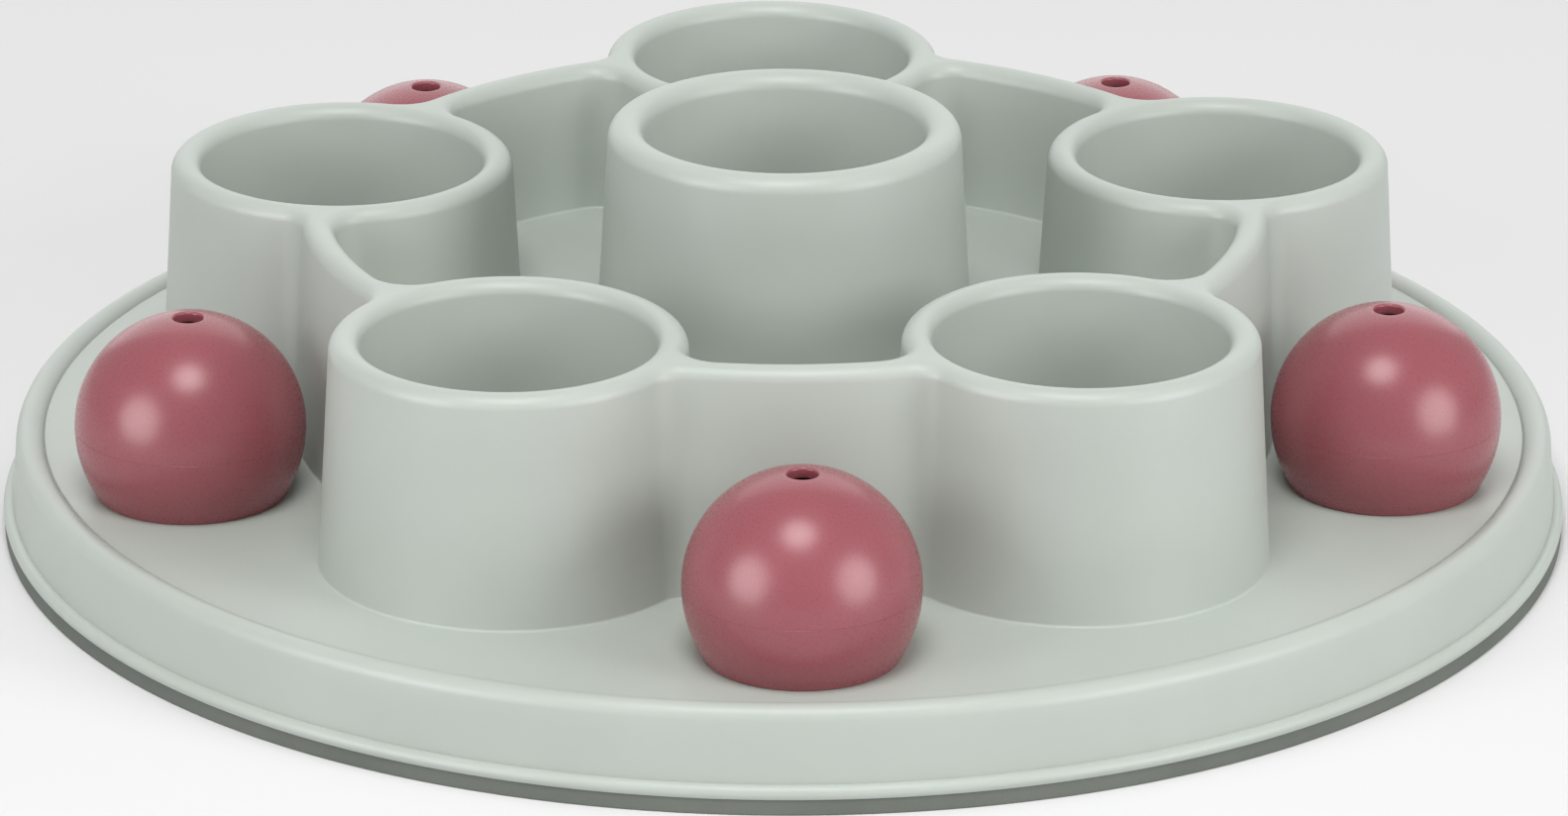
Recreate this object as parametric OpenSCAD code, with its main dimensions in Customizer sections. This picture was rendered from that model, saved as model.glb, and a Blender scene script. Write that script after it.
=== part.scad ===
// Cat activity board: a round moulded board with a ring of open treat cups joined by a ring wall,
// a taller cup on a raised deck in the middle, and loose dome hoods on the outer deck between the cups.
// Millimetres, +Z up. The origin is on the table, under the middle of the board, and -Y is the front.

/* [Board] */
// Overall diameter, across the bead at the foot of the skirt
board_d = 280; // [270:1:320]
// Height of the outer deck above the table
deck_h = 16.9; // [15:0.1:24]
// Height of the raised inner deck above the table
inner_deck_h = 31.2; // [26:0.1:36]
// Wall thickness of the moulding
wall = 2.2; // [1.6:0.1:2.4]
// Draft angle of the cups and the ring wall, in degrees
draft = 3.3; // [2:0.1:4]
// Draft angle of the skirt, in degrees
skirt_draft = 4; // [2:0.1:5]
// Number of cups in the ring, which is also the number of hoods
stations = 5; // [3:1:6]

/* [Edge] */
// Radius of the bead at the foot of the skirt
bead_round = 1.4; // [1.2:0.1:3]
// Height of the bead's middle above the foot of the skirt
bead_rise = 0.8; // [0.5:0.1:1]
// Distance from the edge of the board to the crest of the lip
lip_inset = 5.1; // [4.2:0.1:6]
// Radius of the lip's round
lip_round = 2.6; // [1.6:0.1:3]
// Height of the lip's crest above the outer deck
lip_h = 1.2; // [0.8:0.1:1.5]

/* [Cups] */
// Diameter of a cup's rim, along its crest
cup_rim_d = 56.3; // [50:0.1:60]
// Height of a cup above the outer deck
cup_h = 41.3; // [34:0.1:48]
// Radius of the round on the cups' rims and on the ring wall
rim_round = 2.65; // [2.5:0.05:3.2]
// Depth of every cup, unless the deck under it allows less
cup_depth = 40; // [32:0.5:40]
// Radius of the corner at the bottom of a cup
cup_corner = 5; // [2:0.5:8]
// Diameter of the middle cup's rim, along its crest
centre_rim_d = 56.5; // [50:0.1:60]
// Height of the middle cup above the inner deck
centre_cup_h = 41.7; // [34:0.1:48]
// Radius of the round on the middle cup's rim
centre_rim_round = 3.2; // [2.6:0.1:3.6]
// How far the ring wall's crest lies below the cups' rims
ring_drop = 0.4; // [0.3:0.1:4]
// Radius of the blend between a cup and the ring wall, along the crests
web_fillet = 9; // [8:0.5:12]
// How far the hollow inside the walls stops below a rim
core_drop = 10; // [6:0.5:16]

/* [Hoods] */
// Diameter of a hood at its widest
hood_d = 40.5; // [34:0.1:44]
// Diameter of a hood's base
hood_base_d = 33.3; // [31:0.1:34]
// Height of a hood's widest part above the outer deck
hood_waist_h = 12.3; // [9:0.1:14]
// Wall thickness of a hood
hood_wall = 2; // [1.6:0.1:2.6]
// Diameter of the hole at the top of a hood
hood_hole_d = 5.2; // [3:0.1:8]
// Height of the spigot that joins the two shells of a hood
spigot_h = 2.5; // [1.5:0.1:4]
// Clearance round that spigot
spigot_clearance = 0.1; // [0.05:0.05:0.2]
// Clear space between a hood and the lip
lip_gap = 1.75; // [1:0.05:5]
// Clear space between a hood and the ring wall
ring_gap = 2.65; // [1:0.05:5]
// Diameter of the shallow treat hollow under a hood
well_d = 24; // [16:0.5:26]
// Diameter of that hollow's floor
well_floor_d = 18; // [8:0.5:22]
// Depth of that hollow
well_depth = 3; // [1:0.1:4]

/* [Non-slip ring] */
// Height of the tread that shows under the skirt
tread_h = 2.8; // [2:0.1:4]
// Width of the tread
tread_w = 8; // [7:0.1:12]
// How far the foot of the tread lies inside the edge of the board
tread_inset = 0.15; // [0.1:0.05:0.5]
// How far the tread's edge draws in towards its top
tread_flare = 0.35; // [0.1:0.05:0.8]
// Height of the flange that grips the inside of the skirt
grip_h = 5; // [3:0.1:7]
// Thickness of that flange
grip_w = 2.2; // [1.2:0.1:2.6]
// Clearance between that flange and the skirt
grip_clearance = 0.2; // [0.1:0.05:0.4]

/* [Hidden] */
$fn = 96;
// How far a round stands past the wall that runs into it, so that the two are never tangent
merge = 0.03;
// How far the round of a blend cuts past the walls that it joins
blend_overlap = 0.25;
// How far the crest of a round stands above the land inside it
land = 0.05;
// How far a cutting shape runs past what it cuts
over = 1;
// Straight steps in the corner at the bottom of a cup
corner_steps = 6;
// How far short of the cups' middles the space inside the ring wall ends, in degrees
slot_end = 1;

board_r = board_d / 2;
step = 360 / stations;

lip_r = board_r - lip_inset;
lip_z = deck_h + lip_h - lip_round;

hood_r = hood_d / 2;
waist_z = deck_h + hood_waist_h;
hood_pitch = lip_r - lip_round - lip_gap - hood_r;
base_draw = hood_r - hood_base_d / 2;
side_r = (hood_waist_h * hood_waist_h + base_draw * base_draw) / (2 * base_draw);
spigot_r = hood_r - (hood_wall + spigot_clearance) / 2;
spigot_wall = 0.4 * hood_wall;

cup_r = cup_rim_d / 2;
cup_top = deck_h + cup_h;
centre_r = centre_rim_d / 2;
centre_top = inner_deck_h + centre_cup_h;

ring_top = cup_top - ring_drop;
ring_z = ring_top - rim_round;
ring_r = hood_pitch - hood_r - ring_gap - rim_round - tan(draft) * (ring_z - waist_z);

// Undersides of the two decks, and halfway through the outer one
deck_low = deck_h - wall;
deck_root = deck_h - wall / 2;
inner_low = inner_deck_h - wall;

grip_r = skirt(tread_h + grip_h) - wall - grip_clearance;

function numbered(name, end = "") = [for (i = [1:stations]) str(name, "_", i, end)];

board_colour = [0.73, 0.76, 0.73];
ring_colour = [0.46, 0.48, 0.45];
hood_colour = [0.74, 0.45, 0.49];

// Radius of the skirt's outer face at height z
function skirt(z) = lip_r + lip_round - merge + tan(skirt_draft) * (lip_z - z);

// Radius at height z of a drafted wall that ends in a round of radius rr about (crest, round_z)
function outer_face(crest, rr, round_z, z) = crest + rr - merge + tan(draft) * (round_z - z);
function inner_face(crest, rr, round_z, z) = crest - rr + merge - tan(draft) * (round_z - z);

function ring_out(z) = outer_face(ring_r, rim_round, ring_z, z);
function ring_in(z) = inner_face(ring_r, rim_round, ring_z, z);

// Angle between the sides a and b of a triangle whose third side is c
function angle_between(a, b, c) = acos((a * a + b * b - c * c) / (2 * a * b));

function polar(r, a) = [r * cos(a), r * sin(a)];

// The bottom corner of a cup, from its floor up to its wall
function corner_points(wall_r, floor_z) = [
    for (i = [0:corner_steps])
        let (a = 90 * i / corner_steps - 90)
        [wall_r - cup_corner, floor_z + cup_corner] + polar(cup_corner, a)
];

module round_at(r, z, radius) {
    translate([r, z]) circle(radius);
}

// Hood 1 is at the front, and the cups stand halfway between the hoods
function hood_angle(i) = 270 + i * step;

module at_hood(i) {
    rotate(hood_angle(i)) translate([hood_pitch, 0, 0]) children();
}

module at_hoods() {
    for (i = [0:stations - 1]) at_hood(i) children();
}

module at_cup(i) {
    rotate(hood_angle(i) + step / 2) children();
}

// A cup's outside, filled
module cup_body(crest, rr, top, foot) {
    rotate_extrude() body_section(crest, rr, top, foot);
}

module body_section(crest, rr, top, foot) {
    round_z = top - rr;
    round_at(crest, round_z, rr);
    polygon([
        [0, foot],
        [outer_face(crest, rr, round_z, foot), foot],
        [outer_face(crest, rr, round_z, round_z), round_z],
        [crest, top - land],
        [0, top - land]
    ]);
}

// A cup's inside, with the inner half of the rim's round
module bore_section(crest, rr, top, floor_z) {
    round_z = top - rr;
    neck_z = round_z + rr / 3;
    mouth_r = crest - sqrt(3 * rr * land);
    corner_r = inner_face(crest, rr, round_z, floor_z + cup_corner);
    polygon(concat(
        [[0, floor_z]],
        corner_points(corner_r, floor_z),
        [[inner_face(crest, rr, round_z, neck_z), neck_z], [0, neck_z]]
    ));
    difference() {
        translate([0, round_z]) square([mouth_r, rr + over]);
        round_at(crest, round_z, rr);
    }
}

// The space under a cup's floor and between its two walls
module core_section(crest, rr, top, foot, floor_z) {
    round_z = top - rr;
    low = foot - over;
    liner_low = floor_z - wall;
    high = top - core_drop;
    polygon([
        [0, low],
        [outer_face(crest, rr, round_z, low) - wall, low],
        [outer_face(crest, rr, round_z, high) - wall, high],
        [inner_face(crest, rr, round_z, high) + wall, high],
        [inner_face(crest, rr, round_z, liner_low) + wall, liner_low],
        [0, liner_low]
    ]);
}

// A double-walled cup that stands in a hole of its deck
module cup_shell(crest, rr, top, foot) {
    floor_z = max(top - cup_depth, foot + wall);
    color(board_colour) rotate_extrude() difference() {
        body_section(crest, rr, top, foot);
        core_section(crest, rr, top, foot, floor_z);
        bore_section(crest, rr, top, floor_z);
    }
}

// What the cups take out of the decks and the ring wall
module cup_cut() {
    translate([ring_r, 0, 0]) cup_body(cup_r, rim_round, cup_top, deck_low - over);
}

// Section of the skirt, bead, lip and outer deck
module deck_section() {
    low = tread_h - over;
    difference() {
        union() {
            polygon([
                [ring_out(tread_h), tread_h],
                [skirt(tread_h), tread_h],
                [skirt(lip_z), lip_z],
                [lip_r, deck_h],
                [ring_out(deck_h), deck_h]
            ]);
            round_at(lip_r, lip_z, lip_round);
            intersection() {
                round_at(board_r - bead_round, tread_h + bead_rise, bead_round);
                translate([lip_r, tread_h]) square([lip_inset + over, 2 * bead_round]);
            }
        }
        polygon([
            [0, low],
            [skirt(low) - wall, low],
            [skirt(deck_low) - wall, deck_low],
            [0, deck_low]
        ]);
    }
}

// The shallow treat hollow under a hood
module well() {
    translate([0, 0, deck_h - well_depth])
        cylinder(h = well_depth + over, d1 = well_floor_d, d2 = well_d);
}

// The wall round that hollow, from its underside up into the deck
module well_boss() {
    low = deck_h - well_depth - wall;
    translate([0, 0, low])
        cylinder(h = deck_root - low, d1 = well_floor_d + wall, d2 = well_d + 2 * wall);
}

// Section of the ring wall, filled
module ring_section() {
    round_at(ring_r, ring_z, rim_round);
    polygon([
        [ring_r, deck_low],
        [ring_out(deck_low), deck_low],
        [ring_out(ring_z), ring_z],
        [ring_in(ring_z), ring_z],
        [ring_in(inner_low), inner_low],
        [ring_r, inner_low]
    ]);
}

// Section of the space inside the ring wall
module slot_section() {
    low = deck_low - over;
    high = ring_top - core_drop;
    polygon([
        [ring_in(low) + wall, low],
        [ring_out(low) - wall, low],
        [ring_out(high) - wall, high],
        [ring_in(high) + wall, high]
    ]);
}

// A blend between a cup and the ring wall, hollowed by an upright round about q
module web_blend(q, web_end, low) {
    high = ring_z + rim_round / 4;
    difference() {
        translate([0, 0, low])
            linear_extrude(high - low) polygon([[ring_r, 0], q, web_end]);
        translate([q[0], q[1], low - over])
            cylinder(h = high - low + 2 * over, r = web_fillet - rim_round + blend_overlap);
    }
}

// The two blends where one end of the ring wall runs into a cup, outside and inside the ring
module web_blends() {
    out_r = ring_r + web_fillet;
    in_r = ring_r - web_fillet;
    out_a = angle_between(ring_r, out_r, cup_r + web_fillet);
    in_a = angle_between(ring_r, in_r, cup_r + web_fillet);
    web_blend(polar(out_r, out_a), polar(ring_r, out_a), deck_h);
    web_blend(polar(in_r, in_a), polar(ring_r, in_a), inner_deck_h);
}

// The outer deck with its skirt, and a hole for each cup
module deck() {
    color(board_colour) difference() {
        union() {
            rotate_extrude() deck_section();
            at_hoods() well_boss();
        }
        for (i = [0:stations - 1]) at_cup(i) cup_cut();
        at_hoods() well();
    }
}

// The raised deck inside the ring wall, with a hole for each cup
module inner_deck() {
    color(board_colour) difference() {
        translate([0, 0, inner_low])
            cylinder(h = wall, r1 = ring_in(inner_low), r2 = ring_in(inner_deck_h));
        for (i = [0:stations - 1]) at_cup(i) cup_cut();
        cup_body(centre_r, centre_rim_round, centre_top, inner_low - over);
    }
}

// The stretch of ring wall behind hood i, from one cup to the next, with its blends
module ring_wall(i) {
    color(board_colour) rotate(hood_angle(i) - step / 2) difference() {
        union() {
            rotate_extrude(angle = step) ring_section();
            web_blends();
            rotate(step) mirror([0, 1, 0]) web_blends();
        }
        rotate(slot_end) rotate_extrude(angle = step - 2 * slot_end) slot_section();
        cup_cut();
        rotate(step) cup_cut();
    }
}

module cup(i) {
    at_cup(i) translate([ring_r, 0, 0]) cup_shell(cup_r, rim_round, cup_top, deck_low);
}

module middle_cup() {
    cup_shell(centre_r, centre_rim_round, centre_top, inner_low);
}

// The soft ring under the skirt: a tread on the table and a flange that grips inside the skirt
module nonslip_ring() {
    edge_r = board_r - tread_inset;
    color(ring_colour) rotate_extrude() {
        polygon([
            [edge_r - tread_w, 0],
            [edge_r, 0],
            [edge_r - tread_flare, tread_h],
            [edge_r - tread_w, tread_h]
        ]);
        translate([grip_r - grip_w, tread_h / 2]) square([grip_w, tread_h / 2 + grip_h]);
    }
}

// The upper half of a hood: a dome with a round hole, rebated inside for the spigot
module hood_upper_shell() {
    color(hood_colour) rotate_extrude() difference() {
        intersection() {
            difference() {
                round_at(0, waist_z, hood_r);
                round_at(0, waist_z, hood_r - hood_wall);
            }
            translate([hood_hole_d / 2, waist_z]) square(hood_r + over);
        }
        translate([0, waist_z - over])
            square([spigot_r + spigot_clearance, over + spigot_h + spigot_clearance]);
    }
}

// The lower part of a hood: a drawn-in side that stands on the deck, with the spigot on top
module hood_lower_shell() {
    side_x = hood_r - side_r;
    spigot_root = hood_wall / 2;
    color(hood_colour) rotate_extrude() {
        intersection() {
            difference() {
                round_at(side_x, waist_z, side_r);
                round_at(side_x, waist_z, side_r - hood_wall);
            }
            translate([0, deck_h]) square([hood_r + over, hood_waist_h]);
        }
        translate([spigot_r - spigot_wall, waist_z - spigot_root])
            square([spigot_wall, spigot_root + spigot_h]);
    }
}

deck();
inner_deck();
middle_cup();
nonslip_ring();
for (i = [0:stations - 1]) {
    cup(i);
    ring_wall(i);
    at_hood(i) hood_upper_shell();
    at_hood(i) hood_lower_shell();
}
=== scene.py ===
# Cat activity board: the finished look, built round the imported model.
# Sizes are in millimetres, as in the part's source, and MM turns them into metres.
# +Z is up, the origin is on the table under the middle of the board, and -Y is the front.
import math

import bmesh
import bpy
from mathutils import Color, Matrix, Vector
from mathutils.geometry import delaunay_2d_cdt


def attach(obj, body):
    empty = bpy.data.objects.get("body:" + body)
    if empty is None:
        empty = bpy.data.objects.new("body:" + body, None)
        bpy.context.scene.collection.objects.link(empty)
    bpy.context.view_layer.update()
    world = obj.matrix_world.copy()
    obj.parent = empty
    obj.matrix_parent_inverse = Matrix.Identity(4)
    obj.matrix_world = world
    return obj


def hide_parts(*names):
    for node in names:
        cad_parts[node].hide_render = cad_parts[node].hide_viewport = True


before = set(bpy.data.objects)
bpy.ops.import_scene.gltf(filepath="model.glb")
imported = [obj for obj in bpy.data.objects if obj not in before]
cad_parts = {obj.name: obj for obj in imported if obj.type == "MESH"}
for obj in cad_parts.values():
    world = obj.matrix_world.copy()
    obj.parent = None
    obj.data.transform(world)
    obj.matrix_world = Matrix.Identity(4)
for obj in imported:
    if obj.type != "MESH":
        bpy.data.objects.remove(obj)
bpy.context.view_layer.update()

MM = 0.001
FULL_TURN = 360

# Board
STATIONS = 5
STEP = FULL_TURN / STATIONS
FIRST_HOOD = 270
FIRST_CUP = FIRST_HOOD + STEP / 2
BOARD_R = 140.0
DECK_Z = 16.9
INNER_DECK_Z = 31.2
SHELL = 1.3
DRAFT = math.radians(3.3)
SKIRT_DRAFT = math.radians(4.0)
FOOT_ROUND = 0.5

# Edge of the board
LIP_INSET = 5.1
LIP_H = 1.2
LIP_ROUND = 2.6
LIP_R = BOARD_R - LIP_INSET
LIP_Z = DECK_Z + LIP_H - LIP_ROUND
GROOVE_W = 0.4
GROOVE_DEPTH = 0.35
BEAD_ROUND = 1.4
BEAD_RISE = 0.8

# Cups and ring wall
RING_R = 83.254
CUP_R = 28.15
CUP_H = 41.3
CUP_TOP = DECK_Z + CUP_H
RIM_ROUND = 2.65
CENTRE_R = 28.25
CENTRE_H = 41.7
CENTRE_TOP = INNER_DECK_Z + CENTRE_H
CENTRE_ROUND = 3.2
CUP_DEPTH = 40.0
CUP_CORNER = 5.0
WEB_FILLET = 9.0

# Treat hollows under the hoods
WELL_R = 12.0
WELL_FLOOR_R = 9.0
WELL_DEPTH = 3.0
WELL_EDGE = 2.2
WELL_CORNER = 1.0

# Hoods
HOOD_R = 20.25
LIP_GAP = 1.75
HOOD_PITCH = LIP_R - LIP_ROUND - LIP_GAP - HOOD_R
HOOD_WALL = 2.0
HOOD_BASE_R = 16.65
HOOD_WAIST_H = 12.3
WAIST_Z = DECK_Z + HOOD_WAIST_H
HOOD_DRAW = HOOD_R - HOOD_BASE_R
SIDE_R = (HOOD_WAIST_H ** 2 + HOOD_DRAW ** 2) / (2 * HOOD_DRAW)
HOLE_R = 2.6
HOLE_EDGE = 0.45
HOLE_INNER_EDGE = 0.3
BASE_EDGE = 0.5
SEAM = 0.05
SPIGOT_WALL = 0.8
SPIGOT_H = 2.5
SPIGOT_CLEARANCE = 0.1
SPIGOT_R = HOOD_R - (HOOD_WALL + SPIGOT_CLEARANCE) / 2

# Non-slip ring
TREAD_W = 8.0
TREAD_INSET = 0.15
TREAD_FLARE = 0.35
TREAD_H = 2.8
TREAD_R = BOARD_R - TREAD_INSET
TREAD_IN = TREAD_R - TREAD_W
GRIP_R = 135.6
GRIP_W = 2.2
GRIP_H = 5.0
GRIP_TOP = TREAD_H + GRIP_H
SOFT_EDGE = 0.3

# Fineness of the meshes
EDGE_SEGMENTS = 320
CUP_OUT_SEGMENTS = 48
CUP_SIDE_SEGMENTS = 8
CUP_IN_SEGMENTS = 36
FILLET_SEGMENTS = 12
WEB_END_SEGMENTS = 2
WEB_SEGMENTS = 12
CENTRE_SEGMENTS = 128
WELL_SEGMENTS = 64
HOOD_SEGMENTS = 112
RIM_STEPS = 10
WALL_STEPS = 4
FOOT_STEPS = 4
CORNER_STEPS = 8
DOME_STEPS = 32
SIDE_STEPS = 16
EDGE_STEPS = 6

# A flat strip of this width beside a round keeps the shading of the flat face even
SUPPORT = 0.6

# Points closer than these are one, and edges steeper than SHARP stay sharp
WELD = 0.002
FILL_WELD = 0.0002
SHARP = math.radians(32)

# Choices of Blender's own calls
WHOLE_HULL = 0
INWARD = -1


# Points and sections
def polar(radius, degrees, centre=(0.0, 0.0)):
    """The point at a radius and an angle from a centre."""
    angle = math.radians(degrees)
    return (centre[0] + radius * math.cos(angle), centre[1] + radius * math.sin(angle))


def spread(first, last, steps):
    """Values from first to last in equal steps, both ends included."""
    return [first + (last - first) * i / steps for i in range(steps + 1)]


def arc(centre, radius, first, last, steps):
    """Points of an arc between two angles in degrees."""
    return [polar(radius, a, centre) for a in spread(first, last, steps)]


def circle(radius, segments, centre=(0.0, 0.0)):
    """A closed loop of points on a circle."""
    return [polar(radius, FULL_TURN * i / segments, centre) for i in range(segments)]


def lifted(loop, z):
    """A flat loop's points at a height."""
    return [(x, y, z) for x, y in loop]


def turn(points, degrees):
    """Points turned about the middle of the board."""
    cosine = math.cos(math.radians(degrees))
    sine = math.sin(math.radians(degrees))
    return [(x * cosine - y * sine, x * sine + y * cosine) for x, y in points]


def mirrored(points):
    """Points mirrored in the X axis, in the opposite order."""
    return [(x, -y) for x, y in reversed(points)]


def inside(point, loop):
    """Whether a point is inside a closed loop, by the crossings of a line to its right."""
    odd = False
    for (ax, ay), (bx, by) in zip(loop, loop[1:] + loop[:1]):
        if (ay > point.y) != (by > point.y) and point.x < ax + (point.y - ay) * (bx - ax) / (by - ay):
            odd = not odd
    return odd


CUP_ANGLES = [FIRST_CUP + i * STEP for i in range(STATIONS)]
HOOD_PLACES = [polar(HOOD_PITCH, FIRST_HOOD + i * STEP) for i in range(STATIONS)]


# Meshes
class Sheet:
    """Points and faces of one surface, in millimetres."""

    def __init__(self):
        self.points = []
        self.faces = []

    def row(self, points):
        """Adds points and gives their numbers."""
        first = len(self.points)
        self.points.extend(points)
        return list(range(first, len(self.points)))

    def loft(self, rows, ring=False):
        """Four-sided faces between closed rows with as many points each.

        A ring joins its last row to its first.
        """
        numbers = [self.row(r) for r in rows]
        if ring:
            numbers.append(numbers[0])
        for low, high in zip(numbers, numbers[1:]):
            count = len(low)
            for i in range(count):
                j = (i + 1) % count
                self.faces.append((low[i], low[j], high[j], high[i]))

    def revolve(self, section, segments, centre=(0.0, 0.0), ring=False):
        """Turns a section of radius and height about an upright axis."""
        self.loft([lifted(circle(r, segments, centre), z) for r, z in section], ring)

    def cap(self, loop, z):
        """One flat face on a loop."""
        self.faces.append(tuple(self.row(lifted(loop, z))))

    def fill(self, loops, z):
        """Flat faces inside the first loop and outside the others."""
        flat = []
        edges = []
        for loop in loops:
            first = len(flat)
            count = len(loop)
            flat.extend(Vector(p) for p in loop)
            edges.extend((first + i, first + (i + 1) % count) for i in range(count))
        points, _, faces, *_ = delaunay_2d_cdt(flat, edges, [], WHOLE_HULL, FILL_WELD)
        numbers = self.row(lifted(points, z))
        for face in faces:
            middle = sum((points[i] for i in face), Vector((0.0, 0.0))) / len(face)
            if inside(middle, loops[0]) and not any(inside(middle, loop) for loop in loops[1:]):
                self.faces.append(tuple(numbers[i] for i in face))


def make_object(name, sheet, material, body, nodes, shell=0.0, press=None):
    """One mesh piece from a sheet. An open sheet gets a wall of thickness shell on its inner side.

    What press does to the mesh comes after the wall, which stays plain on its inner side.
    """
    mesh = bpy.data.meshes.new(name)
    mesh.from_pydata([[c * MM for c in p] for p in sheet.points], [], sheet.faces)
    bm = bmesh.new()
    bm.from_mesh(mesh)
    bmesh.ops.remove_doubles(bm, verts=bm.verts, dist=WELD * MM)
    bmesh.ops.recalc_face_normals(bm, faces=bm.faces)
    # The outer side of an open sheet is the one that looks up
    if shell and sum(f.normal.z * f.calc_area() for f in bm.faces) < 0:
        bmesh.ops.reverse_faces(bm, faces=bm.faces)
    bm.to_mesh(mesh)
    bm.free()
    piece = bpy.data.objects.new(name, mesh)
    bpy.context.scene.collection.objects.link(piece)
    if shell:
        thicken = piece.modifiers.new("shell", "SOLIDIFY")
        thicken.thickness = shell * MM
        thicken.offset = INWARD
        thicken.use_even_offset = True
        bpy.context.view_layer.objects.active = piece
        bpy.ops.object.modifier_apply(modifier=thicken.name)
    mesh = piece.data
    if press:
        press(mesh)
    mesh.shade_smooth()
    mesh.set_sharp_from_angle(angle=SHARP)
    mesh.materials.append(material)
    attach(piece, body)
    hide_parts(*nodes)


# Board sections
def wall_section(rim, top, floor, corner, corner_steps):
    """Offset from the crest and height: over a rim, down a drafted wall, round its foot to a floor."""
    section = arc((0.0, top - rim), rim, 90, math.degrees(DRAFT), RIM_STEPS)
    start, start_z = section[-1]
    end_z = floor + corner - corner * math.sin(DRAFT)
    end = start + (start_z - end_z) * math.tan(DRAFT)
    for t in spread(0, 1, WALL_STEPS)[1:-1]:
        section.append((start + (end - start) * t, start_z + (end_z - start_z) * t))
    foot = (end + corner * math.cos(DRAFT), floor + corner)
    section += arc(foot, corner, 180 + math.degrees(DRAFT), 270, corner_steps)
    section.append((foot[0] + SUPPORT, floor))
    return section


def edge_section():
    """Radius and height from the foot of the bead, over it, up the skirt and over the lip to the deck."""
    top_r = LIP_R + LIP_ROUND * math.cos(SKIRT_DRAFT)
    top_z = LIP_Z + LIP_ROUND * math.sin(SKIRT_DRAFT)
    slope = math.tan(SKIRT_DRAFT)

    def skirt(z):
        return top_r + (top_z - z) * slope

    bead = (BOARD_R - BEAD_ROUND, TREAD_H + BEAD_RISE)
    foot_a = -math.degrees(math.asin(BEAD_RISE / BEAD_ROUND))
    crest_a = math.degrees(math.acos((skirt(bead[1] + BEAD_ROUND) - bead[0]) / BEAD_ROUND))
    section = arc(bead, BEAD_ROUND, foot_a, crest_a, RIM_STEPS)
    section += [(skirt(z), z) for z in spread(section[-1][1], top_z, WALL_STEPS)[1:-1]]
    deck_a = 180 - math.degrees(math.asin((DECK_Z - LIP_Z) / LIP_ROUND))
    section += arc((LIP_R, LIP_Z), LIP_ROUND, math.degrees(SKIRT_DRAFT), deck_a, RIM_STEPS)
    lip_foot = section[-1][0]
    section += [(lip_foot - w, DECK_Z) for w in (GROOVE_W / 2, GROOVE_W, GROOVE_W + SUPPORT)]
    return section


def press_groove(mesh):
    """Presses a fine groove into the deck beside the lip."""
    groove_r = LIP_R - math.sqrt(LIP_ROUND ** 2 - (DECK_Z - LIP_Z) ** 2) - GROOVE_W / 2
    for vertex in mesh.vertices:
        off_line = abs(vertex.co.xy.length - groove_r * MM)
        off_deck = abs(vertex.co.z - DECK_Z * MM)
        if max(off_line, off_deck) < WELD * MM:
            vertex.co.z -= GROOVE_DEPTH * MM


def well_section():
    """Radius and height from the deck over the edge of a treat hollow and down to its floor."""
    slope = math.degrees(math.atan2(WELL_DEPTH, WELL_R - WELL_FLOOR_R))
    edge_r = WELL_R + WELL_EDGE * math.tan(math.radians(slope / 2))
    corner_r = WELL_FLOOR_R - WELL_CORNER * math.tan(math.radians(slope / 2))
    floor_z = DECK_Z - WELL_DEPTH
    section = [(edge_r + SUPPORT, DECK_Z)]
    section += arc((edge_r, DECK_Z - WELL_EDGE), WELL_EDGE, 90, 90 + slope, EDGE_STEPS)
    section += arc((corner_r, floor_z + WELL_CORNER), WELL_CORNER, slope - 90, -90, EDGE_STEPS)
    section.append((corner_r - SUPPORT, floor_z))
    return section


# Plan of the ring wall, in the frame of one cup whose direction is +X
def blend_angle(radius):
    """The angle from a cup to the centre of its blend with the web, which lies at a radius."""
    apart = CUP_R + WEB_FILLET
    return math.degrees(math.acos((RING_R ** 2 + radius ** 2 - apart ** 2) / (2 * RING_R * radius)))


# The blends outside and inside the ring: angle and centre, and where on the cup's circle they begin
OUT_ANGLE = blend_angle(RING_R + WEB_FILLET)
IN_ANGLE = blend_angle(RING_R - WEB_FILLET)
CUP_CENTRE = (RING_R, 0.0)
OUT_CENTRE = polar(RING_R + WEB_FILLET, OUT_ANGLE)
IN_CENTRE = polar(RING_R - WEB_FILLET, IN_ANGLE)
OUT_TURN = math.degrees(math.atan2(OUT_CENTRE[1], OUT_CENTRE[0] - RING_R))
IN_TURN = math.degrees(math.atan2(IN_CENTRE[1], IN_CENTRE[0] - RING_R))


def outer_fillet(offset):
    """From the cup to the web, outside the ring."""
    return arc(OUT_CENTRE, WEB_FILLET - offset, 180 + OUT_TURN, 180 + OUT_ANGLE, FILLET_SEGMENTS)


def inner_fillet(offset):
    """From the cup to the web, inside the ring."""
    return arc(IN_CENTRE, WEB_FILLET - offset, 180 + IN_TURN, FULL_TURN + IN_ANGLE, FILLET_SEGMENTS)


def web_end(radius):
    """The stretch of web that has begun outside the ring and not yet inside it."""
    return arc((0.0, 0.0), radius, OUT_ANGLE, IN_ANGLE, WEB_END_SEGMENTS)


def web(radius):
    """The web from one cup's blends to those of the next."""
    return arc((0.0, 0.0), radius, IN_ANGLE, STEP - IN_ANGLE, WEB_SEGMENTS)


def all_round(sector):
    """One sector's points at each cup in turn."""
    return [p for angle in CUP_ANGLES for p in turn(sector, angle)]


def outer_loop(offset):
    """The ring wall's plan outside the crest, at an offset from it."""
    half = arc(CUP_CENTRE, CUP_R + offset, 0, OUT_TURN, CUP_OUT_SEGMENTS // 2)[1:-1]
    side = half + outer_fillet(offset)[:-1] + web_end(RING_R + offset)[:-1]
    return all_round(mirrored(side) + [(RING_R + CUP_R + offset, 0.0)] + side + web(RING_R + offset))


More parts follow.
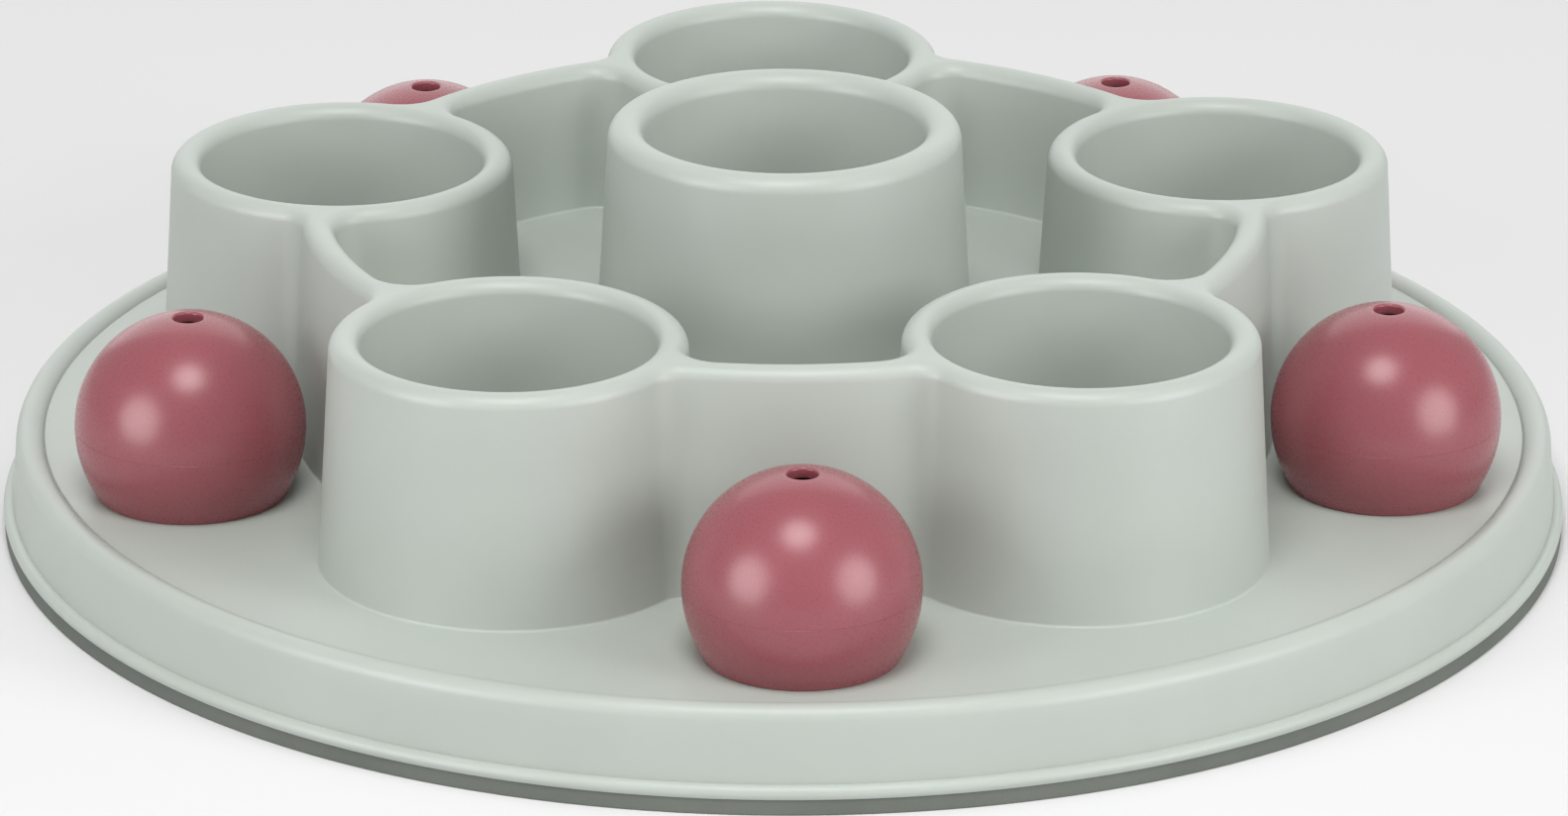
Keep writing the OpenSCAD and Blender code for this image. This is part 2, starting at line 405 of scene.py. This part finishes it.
def inner_loop(offset):
    """The ring wall's plan inside the crest, at an offset from it."""
    half = arc(CUP_CENTRE, CUP_R + offset, 180, IN_TURN, CUP_IN_SEGMENTS // 2)[1:-1]
    side = half + inner_fillet(offset)[:-1]
    return all_round(mirrored(side) + [(RING_R - CUP_R - offset, 0.0)] + side + web(RING_R - offset))


def cup_loop(radius):
    """A cup's circle, with points where the ring wall's plan has them."""
    angles = spread(0, OUT_TURN, CUP_OUT_SEGMENTS // 2)[:-1]
    angles += spread(OUT_TURN, IN_TURN, CUP_SIDE_SEGMENTS)[:-1]
    angles += spread(IN_TURN, 180, CUP_IN_SEGMENTS // 2)[:-1]
    half = [polar(radius, a, CUP_CENTRE) for a in angles]
    return half + [(RING_R - radius, 0.0)] + mirrored(half[1:])


def junction_loop():
    """The flat crest between a cup's rim and the two blends of one web."""
    side = arc(CUP_CENTRE, CUP_R, OUT_TURN, IN_TURN, CUP_SIDE_SEGMENTS)
    back = web_end(RING_R)[::-1][:-1] + outer_fillet(0)[::-1][:-1]
    return side[:-1] + inner_fillet(0)[:-1] + back


def board_sheet():
    """The board's outer side in one open sheet."""
    sheet = Sheet()
    edge = edge_section()
    sheet.revolve(edge, EDGE_SEGMENTS)

    outer = wall_section(RIM_ROUND, CUP_TOP, DECK_Z, FOOT_ROUND, FOOT_STEPS)
    sheet.loft([lifted(outer_loop(o), z) for o, z in outer])
    inner = wall_section(RIM_ROUND, CUP_TOP, INNER_DECK_Z, FOOT_ROUND, FOOT_STEPS)
    sheet.loft([lifted(inner_loop(o), z) for o, z in inner])

    bore = wall_section(RIM_ROUND, CUP_TOP, CUP_TOP - CUP_DEPTH, CUP_CORNER, CORNER_STEPS)
    for angle in CUP_ANGLES:
        sheet.loft([lifted(turn(cup_loop(CUP_R - o), angle), z) for o, z in bore])
        sheet.cap(turn(cup_loop(CUP_R - bore[-1][0]), angle), bore[-1][1])
        sheet.cap(turn(junction_loop(), angle), CUP_TOP)
        sheet.cap(turn(mirrored(junction_loop()), angle), CUP_TOP)

    well = well_section()
    edge_r = well[0][0]
    floor_r, floor_z = well[-1]
    for place in HOOD_PLACES:
        sheet.revolve(well, WELL_SEGMENTS, place)
        sheet.cap(circle(floor_r, WELL_SEGMENTS, place), floor_z)
    deck_loops = [circle(edge[-1][0], EDGE_SEGMENTS), outer_loop(outer[-1][0])]
    deck_loops += [circle(edge_r, WELL_SEGMENTS, place) for place in HOOD_PLACES]
    sheet.fill(deck_loops, DECK_Z)

    middle = wall_section(CENTRE_ROUND, CENTRE_TOP, INNER_DECK_Z, FOOT_ROUND, FOOT_STEPS)
    sheet.revolve([(CENTRE_R + o, z) for o, z in middle], CENTRE_SEGMENTS)
    foot_loop = circle(CENTRE_R + middle[-1][0], CENTRE_SEGMENTS)
    sheet.fill([inner_loop(inner[-1][0]), foot_loop], INNER_DECK_Z)
    centre_floor = CENTRE_TOP - CUP_DEPTH
    bore = wall_section(CENTRE_ROUND, CENTRE_TOP, centre_floor, CUP_CORNER, CORNER_STEPS)
    sheet.revolve([(CENTRE_R - o, z) for o, z in bore], CENTRE_SEGMENTS)
    sheet.cap(circle(CENTRE_R - bore[-1][0], CENTRE_SEGMENTS), centre_floor)
    return sheet


# Non-slip ring
def ring_section():
    """Section of the non-slip ring: a tread that flares to the table, and a flange inside the skirt."""
    grip_in = GRIP_R - GRIP_W
    soft = SOFT_EDGE
    section = [(TREAD_IN + soft, 0.0)]
    section += arc((TREAD_R - soft, soft), soft, -90, 0, EDGE_STEPS)
    section += [(TREAD_R - TREAD_FLARE, TREAD_H), (GRIP_R, TREAD_H)]
    section += [(GRIP_R, GRIP_TOP - soft), (GRIP_R - soft, GRIP_TOP)]
    section += [(grip_in + soft, GRIP_TOP), (grip_in, GRIP_TOP - soft)]
    section += [(grip_in, TREAD_H), (TREAD_IN + soft, TREAD_H)]
    section += [(TREAD_IN, TREAD_H - soft), (TREAD_IN, soft)]
    return section


# Hoods
def upper_section():
    """Section of a hood's dome: round its outside, over the hole's edge and back inside to the rebate."""
    middle = (0.0, WAIST_Z)
    inner_r = HOOD_R - HOOD_WALL
    hole_x = HOLE_R + HOLE_EDGE
    edge_z = math.sqrt((HOOD_R - HOLE_EDGE) ** 2 - hole_x ** 2)
    edge_a = math.degrees(math.atan2(edge_z, hole_x))
    inner_x = HOLE_R + HOLE_INNER_EDGE
    inner_z = math.sqrt((inner_r + HOLE_INNER_EDGE) ** 2 - inner_x ** 2)
    inner_a = math.degrees(math.atan2(inner_z, inner_x))
    rebate_r = SPIGOT_R + SPIGOT_CLEARANCE
    rebate_h = SPIGOT_H + SPIGOT_CLEARANCE
    rebate_a = math.degrees(math.asin(rebate_h / inner_r))
    seam_a = math.degrees(math.asin(SEAM / HOOD_R))
    section = [(rebate_r, WAIST_Z), (HOOD_R - SEAM, WAIST_Z)]
    section += arc(middle, HOOD_R, seam_a, edge_a, DOME_STEPS)[:-1]
    section += arc((hole_x, WAIST_Z + edge_z), HOLE_EDGE, edge_a, 180, EDGE_STEPS)
    section += arc((inner_x, WAIST_Z + inner_z), HOLE_INNER_EDGE, 180, 180 + inner_a, EDGE_STEPS)
    section += arc(middle, inner_r, inner_a, rebate_a, DOME_STEPS)[1:]
    section.append((rebate_r, WAIST_Z + rebate_h))
    return section


def lower_section():
    """Section of a hood's lower shell: down its drawn-in side, under its base and up to the spigot."""
    middle = (HOOD_R - SIDE_R, WAIST_Z)
    base_a = -math.degrees(math.asin((HOOD_WAIST_H - BASE_EDGE) / SIDE_R))
    seam_a = -math.degrees(math.asin(SEAM / SIDE_R))
    inner_side = SIDE_R - HOOD_WALL
    inner_a = -math.degrees(math.asin(HOOD_WAIST_H / inner_side))
    section = [(HOOD_R - SEAM, WAIST_Z)]
    section += arc(middle, SIDE_R, seam_a, base_a, SIDE_STEPS)
    base_r = section[-1][0]
    section += arc((base_r - BASE_EDGE, DECK_Z + BASE_EDGE), BASE_EDGE, 0, -90, EDGE_STEPS)[1:]
    section += arc(middle, inner_side, inner_a, 0, SIDE_STEPS)
    spigot_in = SPIGOT_R - SPIGOT_WALL
    spigot_top = WAIST_Z + SPIGOT_H
    section += [(spigot_in, WAIST_Z), (spigot_in, spigot_top)]
    section += [(SPIGOT_R, spigot_top), (SPIGOT_R, WAIST_Z)]
    return section


def ring_sheet(section, segments, centre=(0.0, 0.0)):
    """A closed section turned about an upright axis."""
    sheet = Sheet()
    sheet.revolve(section, segments, centre, ring=True)
    return sheet


# Materials, with noise scales per metre and depths in millimetres
COLOUR_MAX = 255
NOISE_LOW = 0.3
NOISE_HIGH = 0.7
DRIFT_DETAIL = 3.0
GRAIN_DETAIL = 2.0
BUMP_STRENGTH = 0.4


def linear(colour):
    """An sRGB colour in 0 to 255 as linear light."""
    return (*Color([c / COLOUR_MAX for c in colour]).from_srgb_to_scene_linear(), 1.0)


def moulded(name, dark, light, rough, rough_spread, grain_scale, grain_depth, drift_scale, wave_depth):
    """A moulded surface: slow drift of tone, uneven gloss, a fine grain and a faint waviness."""
    material = bpy.data.materials.new(name)
    material.use_nodes = True
    nodes = material.node_tree.nodes
    links = material.node_tree.links
    shader = nodes["Principled BSDF"]
    coords = nodes.new("ShaderNodeTexCoord")

    def noise(scale, detail):
        texture = nodes.new("ShaderNodeTexNoise")
        texture.inputs["Scale"].default_value = scale
        texture.inputs["Detail"].default_value = detail
        links.new(coords.outputs["Object"], texture.inputs["Vector"])
        return texture.outputs["Fac"]

    def bump(height, depth):
        node = nodes.new("ShaderNodeBump")
        node.inputs["Strength"].default_value = BUMP_STRENGTH
        node.inputs["Distance"].default_value = depth * MM
        links.new(height, node.inputs["Height"])
        return node

    drift = noise(drift_scale, DRIFT_DETAIL)
    grain = noise(grain_scale, GRAIN_DETAIL)

    tone = nodes.new("ShaderNodeValToRGB")
    low, high = tone.color_ramp.elements
    low.position = NOISE_LOW
    low.color = linear(dark)
    high.position = NOISE_HIGH
    high.color = linear(light)
    links.new(drift, tone.inputs["Fac"])
    links.new(tone.outputs["Color"], shader.inputs["Base Color"])

    gloss = nodes.new("ShaderNodeMapRange")
    gloss.inputs["From Min"].default_value = NOISE_LOW
    gloss.inputs["From Max"].default_value = NOISE_HIGH
    gloss.inputs["To Min"].default_value = rough - rough_spread
    gloss.inputs["To Max"].default_value = rough + rough_spread
    links.new(grain, gloss.inputs["Value"])
    links.new(gloss.outputs["Result"], shader.inputs["Roughness"])

    waves = bump(drift, wave_depth)
    grains = bump(grain, grain_depth)
    links.new(waves.outputs["Normal"], grains.inputs["Normal"])
    links.new(grains.outputs["Normal"], shader.inputs["Normal"])
    return material


board_plastic = moulded(
    "board_plastic", dark=(176, 183, 176), light=(181, 188, 181), rough=0.44, rough_spread=0.05,
    grain_scale=2600, grain_depth=0.02, drift_scale=30, wave_depth=0.03,
)
hood_plastic = moulded(
    "hood_plastic", dark=(145, 76, 84), light=(149, 80, 88), rough=0.28, rough_spread=0.015,
    grain_scale=2200, grain_depth=0.0008, drift_scale=60, wave_depth=0.02,
)
soft_rubber = moulded(
    "soft_rubber", dark=(97, 102, 95), light=(107, 112, 105), rough=0.78, rough_spread=0.06,
    grain_scale=1800, grain_depth=0.05, drift_scale=40, wave_depth=0.03,
)

# Pieces
stations = range(1, STATIONS + 1)
moulding = ["deck", "inner_deck", "middle_cup"]
moulding += [f"cup_{i}" for i in stations] + [f"ring_wall_{i}" for i in stations]
make_object(
    "moulded_board", board_sheet(), board_plastic,
    "board", moulding, SHELL, press_groove,
)
make_object(
    "soft_ring", ring_sheet(ring_section(), EDGE_SEGMENTS), soft_rubber,
    "board", ["nonslip_ring"],
)
for i, place in zip(stations, HOOD_PLACES):
    hood = f"hood_{i}"
    make_object(
        f"{hood}_dome", ring_sheet(upper_section(), HOOD_SEGMENTS, place), hood_plastic,
        hood, [f"{hood}_upper_shell"],
    )
    make_object(
        f"{hood}_skirt", ring_sheet(lower_section(), HOOD_SEGMENTS, place), hood_plastic,
        hood, [f"{hood}_lower_shell"],
    )

# Floor, with its half width in metres
FLOOR_HALF = 6.0
FLOOR_TONE = 0.77
FLOOR_ROUGH = 0.9
floor_mesh = bpy.data.meshes.new("floor")
corners = [(-1, -1), (1, -1), (1, 1), (-1, 1)]
floor_points = [(x * FLOOR_HALF, y * FLOOR_HALF, 0.0) for x, y in corners]
floor_mesh.from_pydata(floor_points, [], [(0, 1, 2, 3)])
floor = bpy.data.objects.new("floor", floor_mesh)
bpy.context.scene.collection.objects.link(floor)
floor_paint = bpy.data.materials.new("floor_paint")
floor_paint.use_nodes = True
floor_shader = floor_paint.node_tree.nodes["Principled BSDF"]
floor_shader.inputs["Base Color"].default_value = (FLOOR_TONE, FLOOR_TONE, FLOOR_TONE, 1.0)
floor_shader.inputs["Roughness"].default_value = FLOOR_ROUGH
floor_mesh.materials.append(floor_paint)

# Light, with distances and sizes in metres and power in watts
WHITE = (1.0, 1.0, 1.0, 1.0)
SKY_STRENGTH = 0.5
SHADE_DISTANCE = 1.6
GLINT_DISTANCE = 1.5
world = bpy.data.worlds.new("studio")
world.use_nodes = True
sky = world.node_tree.nodes["Background"]
sky.inputs["Color"].default_value = WHITE
sky.inputs["Strength"].default_value = SKY_STRENGTH
bpy.context.scene.world = world


def direction(azimuth, elevation):
    """A direction from the object: azimuth 0 is the front and 90 the right."""
    around = math.radians(azimuth)
    up = math.radians(elevation)
    return Vector((math.sin(around) * math.cos(up), -math.cos(around) * math.cos(up), math.sin(up)))


def lamp(name, azimuth, elevation, size, power, shines):
    """A round lamp. One that shines shows in reflections alone, and any other never shows there."""
    way = direction(azimuth, elevation)
    data = bpy.data.lights.new(name, "AREA")
    data.shape = "DISK"
    data.size = size
    data.energy = power
    light = bpy.data.objects.new(name, data)
    light.location = way * (GLINT_DISTANCE if shines else SHADE_DISTANCE)
    light.rotation_euler = way.to_track_quat("Z", "Y").to_euler()
    light.visible_diffuse = not shines
    light.visible_glossy = shines
    bpy.context.scene.collection.objects.link(light)


lamp("top_shade", azimuth=-9, elevation=67, size=0.7, power=13.2, shines=False)
lamp("left_shade", azimuth=-56, elevation=22, size=0.6, power=4.8, shines=False)
lamp("right_shade", azimuth=56, elevation=22, size=0.6, power=8.3, shines=False)
lamp("top_glint", azimuth=-9, elevation=67, size=0.7, power=9.0, shines=True)
lamp("left_glint", azimuth=-54, elevation=17, size=1.05, power=14.2, shines=True)
lamp("right_glint", azimuth=52, elevation=17, size=1.05, power=13.8, shines=True)
lamp("back_glint", azimuth=180, elevation=22, size=2.0, power=10.0, shines=True)

# Camera, at the photograph's angle: PHOTO_W and PHOTO_F are in pixels, CAMERA_DISTANCE in metres
PHOTO_W = 1583
PHOTO_F = 8713
SENSOR = 36.0
CAMERA_AZIMUTH = -1.65
CAMERA_ELEVATION = 21.07
CAMERA_ROLL = math.radians(0.195)
CAMERA_DISTANCE = 1.55
CAMERA_SHIFT_X = 0.00019
CAMERA_SHIFT_Y = -0.00145
CLIP_END = 100.0
TARGET_Z = 18.8
camera_data = bpy.data.cameras.new("camera")
camera_data.sensor_fit = "HORIZONTAL"
camera_data.sensor_width = SENSOR
camera_data.lens = PHOTO_F / PHOTO_W * SENSOR
camera_data.shift_x = CAMERA_SHIFT_X
camera_data.shift_y = CAMERA_SHIFT_Y
camera_data.clip_end = CLIP_END
camera = bpy.data.objects.new("camera", camera_data)
camera_way = direction(CAMERA_AZIMUTH, CAMERA_ELEVATION)
camera_place = Vector((0.0, 0.0, TARGET_Z * MM)) + camera_way * CAMERA_DISTANCE
camera_turn = camera_way.to_track_quat("Z", "Y").to_matrix().to_4x4()
roll = Matrix.Rotation(CAMERA_ROLL, 4, "Z")
camera.matrix_world = Matrix.Translation(camera_place) @ camera_turn @ roll
bpy.context.scene.collection.objects.link(camera)
bpy.context.scene.camera = camera
bpy.context.scene.view_settings.view_transform = "Standard"
